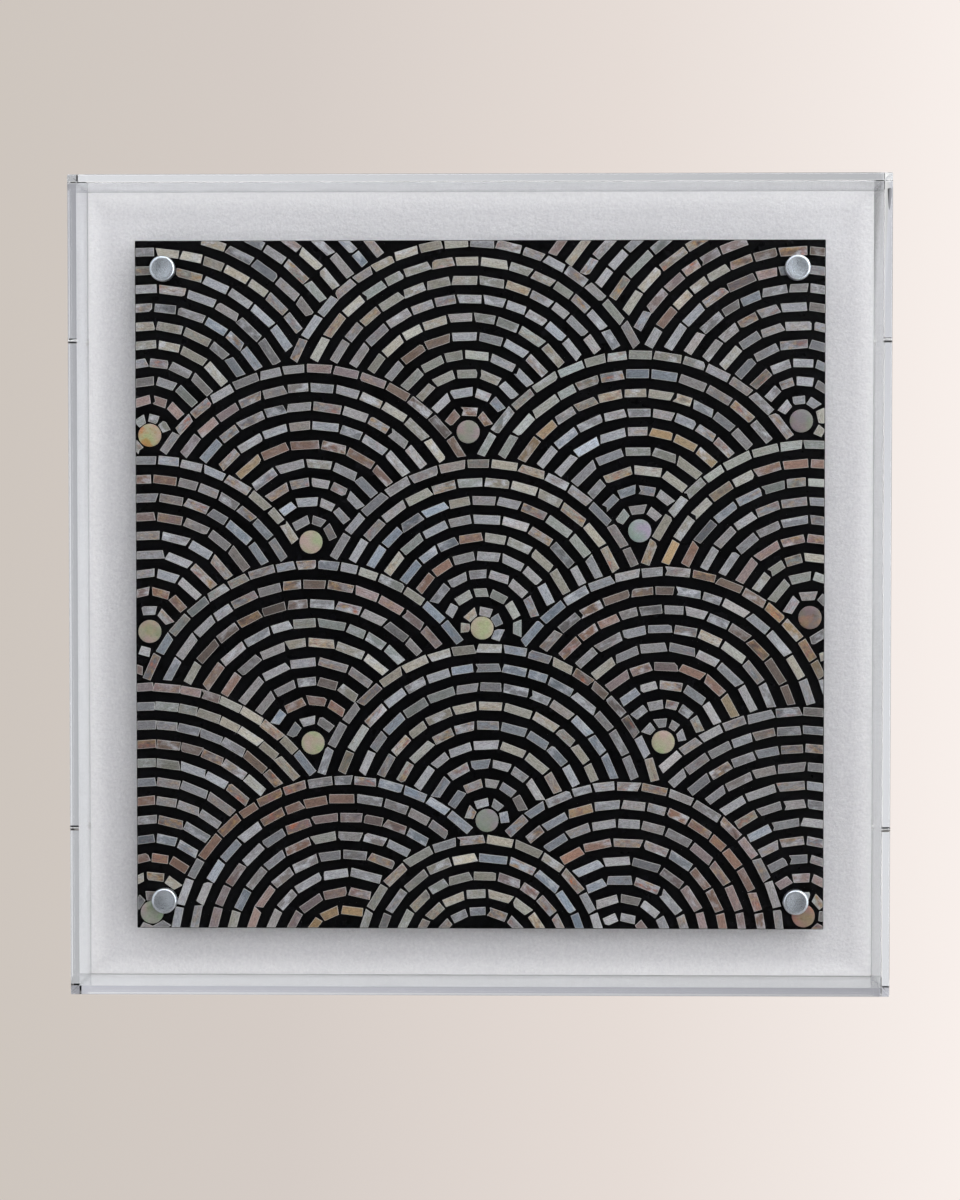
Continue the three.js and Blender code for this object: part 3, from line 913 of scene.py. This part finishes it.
satin_finish, tree, shader = new_finish("satin_turned_metal")
turning = new_node(tree, "ShaderNodeUVMap", uv_map="turning").outputs["UV"]
feed(shader.inputs["Base Color"],
     ramp(grain(turning, 8, 3, 0.5, (0.4, 6, 1)),
          [(0.3, shade(202, 209, 219)), (0.7, shade(208, 215, 224))]))
shader.inputs["Metallic"].default_value = 1.0
feed(shader.inputs["Roughness"],
     ramp(grain(turning, 20, 3, 0.5, (0.3, 6, 1)), [(0.3, 0.26), (0.7, 0.29)]))
shader.inputs["Anisotropic"].default_value = 0.15
round_axis = new_node(tree, "ShaderNodeTangent", direction_type="UV_MAP", uv_map="turning")
feed(shader.inputs["Tangent"], round_axis.outputs["Tangent"])
relief(shader, grain(turning, 40, 2, 0.5, (0.02, 6, 1)), 0.00003, 0.06)
for name, shape, slot_nodes in (("standoff_caps", cap_shape, "standoff_cap_"),
                                ("standoff_barrels", barrel_shape, "standoff_barrel_")):
    pattern = as_mesh(shape, name)
    turning_map(pattern)
    lay_out(name, pattern, standoff_places, satin_finish,
            [slot_nodes + corner for corner in corner_names])


# Screws. Small steel screws with a cross recess: round heads hold the sides of the cover to the
# edge of the white board, and countersunk ones hold the hanger plates behind.
def cross_recess(depth, reach, width):
    """Two crossed blades that cut a recess into a head whose top is at the origin, facing -Y."""
    return [as_mesh(block((-half_x, -MM, -half_z), (half_x, depth, half_z)), "blade")
            for half_x, half_z in ((reach, width / 2), (width / 2, reach))]


thread_pitch = 0.9 * MM
thread_root = 0.74


def threads(radius, start, end):
    """The profile of a thread between two depths, as pairs of radius and depth."""
    turns = int((end - start) / thread_pitch)
    return [point for i in range(turns) for point in (
        (radius * thread_root, start + i * thread_pitch),
        (radius, start + (i + 0.5) * thread_pitch))]


screw_finish, tree, shader = new_finish("screw_steel")
place = object_place(tree)
feed(shader.inputs["Base Color"],
     ramp(grain(place, 1500, 4, 0.6),
          [(0.3, shade(198, 198, 200)), (0.7, shade(224, 224, 226))]))
shader.inputs["Metallic"].default_value = 1.0
feed(shader.inputs["Roughness"], ramp(grain(place, 2500, 4, 0.6), [(0.3, 0.25), (0.7, 0.42)]))
relief(shader, grain(place, 3000, 3), 0.00005, 0.4)

# The round head in its own frame: the head's top faces -Y, as if driven in along +Y
screw_low, screw_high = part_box("cover_screw_top_right")
screw_length = screw_high.x - screw_low.x
head_radius = 2.9 * MM
head_height = 1.6 * MM
shank_radius = 1.6 * MM
head_profile = [(0, 0), (head_radius * 0.45, 0.02 * MM), (head_radius * 0.8, 0.25 * MM),
                (head_radius, 0.8 * MM), (head_radius, head_height), (shank_radius, head_height)]
thread_start = head_height + 7.0 * MM
round_tip = 2.0 * MM
shank_profile = [(shank_radius, thread_start - 0.3 * MM),
                 *threads(shank_radius, thread_start, screw_length - round_tip),
                 (shank_radius * thread_root, screw_length - round_tip), (0, screw_length)]
round_screw = as_mesh(turned(head_profile + shank_profile, 24), "round_screw", 30)
round_screw = cut_away(round_screw, cross_recess(0.9 * MM, 1.5 * MM, 0.5 * MM))
cover_screw_places, cover_screw_turns = [], []
for corner in corner_names:
    low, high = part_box("cover_screw_" + corner)
    side = 1 if "right" in corner else -1
    cover_screw_places.append((high.x if side > 0 else low.x, (low.y + high.y) / 2,
                               (low.z + high.z) / 2))
    cover_screw_turns.append((0, 0, side * math.pi / 2))
lay_out("cover_screws", round_screw, cover_screw_places, screw_finish,
        ["cover_screw_" + corner for corner in corner_names], cover_screw_turns)

hanger_low, hanger_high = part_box("hanger_screw_left_lower")
flat_radius = 3.0 * MM
flat_shank = 1.5 * MM
flat_length = hanger_high.y - hanger_low.y
flat_tip = 1.5 * MM
flat_profile = [(0, 0), (flat_radius - 0.1 * MM, 0), (flat_radius, 0.1 * MM),
                (flat_shank, 2.0 * MM),
                *threads(flat_shank, 2.3 * MM, flat_length - flat_tip - 0.2 * MM),
                (flat_shank * thread_root, flat_length - flat_tip), (0, flat_length)]
flat_screw = as_mesh(turned(flat_profile, 24), "flat_screw", 30)
flat_screw = cut_away(flat_screw, cross_recess(1.1 * MM, 1.6 * MM, 0.5 * MM))
hanger_screw_names = [f"hanger_screw_{side}_{end}" for side in ("left", "right")
                      for end in ("lower", "upper")]
hanger_screw_places = []
for name in hanger_screw_names:
    low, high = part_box(name)
    hanger_screw_places.append(((low.x + high.x) / 2, high.y, (low.z + high.z) / 2))
lay_out("hanger_screws", flat_screw, hanger_screw_places, screw_finish,
        hanger_screw_names, [(0, 0, math.pi)] * 4)


# Hangers. Zinc-plated pressed steel plates let into the back of the white board, each with a
# keyhole for the head of a wall screw and two countersunk holes.
def round_path(x, z, radius, start, end, steps):
    return [(x + radius * math.cos(start + (end - start) * i / steps),
             z + radius * math.sin(start + (end - start) * i / steps)) for i in range(steps + 1)]


def pressed_plate(name, outlines, back, front, edge):
    """A flat plate with eased edges from an outline and its holes, between two planes in Y."""
    curve = bpy.data.curves.new(name, "CURVE")
    curve.dimensions = "2D"
    curve.fill_mode = "BOTH"
    curve.extrude = (back - front) / 2 - edge
    curve.bevel_depth = edge
    curve.bevel_resolution = 1
    curve.offset = -edge
    for outline in outlines:
        spline = curve.splines.new("POLY")
        spline.points.add(len(outline) - 1)
        for point, (x, z) in zip(spline.points, outline):
            point.co = (x, z, 0, 1)
        spline.use_cyclic_u = True
    holder = placed(name, curve)
    mesh = evaluated_mesh(holder)
    bpy.data.objects.remove(holder)
    mesh.transform(Matrix.Translation((0, (back + front) / 2, 0))
                   @ Matrix.Rotation(math.pi / 2, 4, "X"))
    shape = bmesh.new()
    shape.from_mesh(mesh)
    return as_mesh(shape, name)


zinc_finish, tree, shader = new_finish("zinc_plated_steel")
place = object_place(tree)
feed(shader.inputs["Base Color"],
     ramp(grain(place, 220, 6, 0.7),
          [(0.35, shade(150, 152, 156)), (0.65, shade(186, 188, 192))]))
shader.inputs["Metallic"].default_value = 1.0
feed(shader.inputs["Roughness"], ramp(grain(place, 500, 5, 0.6), [(0.3, 0.30), (0.7, 0.55)]))
relief(shader, grain(place, 900, 3), 0.00008, 0.4)
keyhole_radius = 5.0 * MM
keyhole_slot_radius = 2.6 * MM
keyhole_slot_length = 12.0 * MM
plate_corner = 2.0 * MM
screw_inset = 7.0 * MM
for side in ("left", "right"):
    low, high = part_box("hanger_plate_" + side)
    x, z = (low.x + high.x) / 2, (low.z + high.z) / 2
    outer = []
    for sign_x, sign_z, start in ((1, 1, 0), (-1, 1, 90), (-1, -1, 180), (1, -1, 270)):
        outer += round_path(x + sign_x * ((high.x - low.x) / 2 - plate_corner),
                            z + sign_z * ((high.z - low.z) / 2 - plate_corner), plate_corner,
                            math.radians(start), math.radians(start + 90), 5)
    opening = math.asin(keyhole_slot_radius / keyhole_radius)
    wide_z = z - keyhole_slot_length / 2
    keyhole = round_path(x, wide_z, keyhole_radius, math.pi / 2 + opening,
                         math.pi * 5 / 2 - opening, 24)
    keyhole += round_path(x, wide_z + keyhole_slot_length, keyhole_slot_radius, 0, math.pi, 12)
    holes = [round_path(x, hole_z, flat_radius + 0.3 * MM, 0, 2 * math.pi * 23 / 24, 23)
             for hole_z in (low.z + screw_inset, high.z - screw_inset)]
    plate_mesh = pressed_plate("hanger_plate", [outer, keyhole, *holes], high.y, low.y, 0.25 * MM)
    new_piece(f"keyhole_plate_{side}", plate_mesh, zinc_finish,
              ["hanger_plate_" + side])


# Acrylic cover. A clear box of 6 mm sheet, open at the back, with polished and eased edges and
# square bonded corners inside, drilled through its left and right sides for the four screws.
cover_low, cover_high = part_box("acrylic_cover")
sheet = 6.0 * MM
cover_shape = block(cover_low, cover_high)
eased(cover_shape, 1.0 * MM, 3)
room_shape = block((cover_low.x + sheet, cover_low.y + sheet, cover_low.z + sheet),
                   (cover_high.x - sheet, cover_high.y + sheet, cover_high.z - sheet))
screw_hole_radius = 1.9 * MM
drill_start = 2 * MM
drill_depth = 10 * MM
cover_cutters = [as_mesh(room_shape, "room")]
for (x, y, z), (_, _, turn) in zip(cover_screw_places, cover_screw_turns):
    drill = turned([(0, -drill_start), (screw_hole_radius, -drill_start),
                    (screw_hole_radius, drill_depth), (0, drill_depth)], 24)
    bmesh.ops.rotate(drill, matrix=Matrix.Rotation(turn, 3, "Z"), verts=drill.verts)
    bmesh.ops.translate(drill, vec=(x, y, z), verts=drill.verts)
    cover_cutters.append(as_mesh(drill, "drill"))
cover_mesh = cut_away(as_mesh(cover_shape, "clear_cover"), cover_cutters)
acrylic_finish, tree, shader = new_finish("clear_polished_acrylic")
place = object_place(tree)
shader.inputs["Base Color"].default_value = (0.985, 0.992, 0.995, 1)
shader.inputs["Transmission Weight"].default_value = 1.0
shader.inputs["IOR"].default_value = 1.49
feed(shader.inputs["Roughness"], ramp(grain(place, 14, 6, 0.7), [(0.5, 0.0), (0.8, 0.02)]))
new_piece("clear_cover", cover_mesh, acrylic_finish, ["acrylic_cover"])
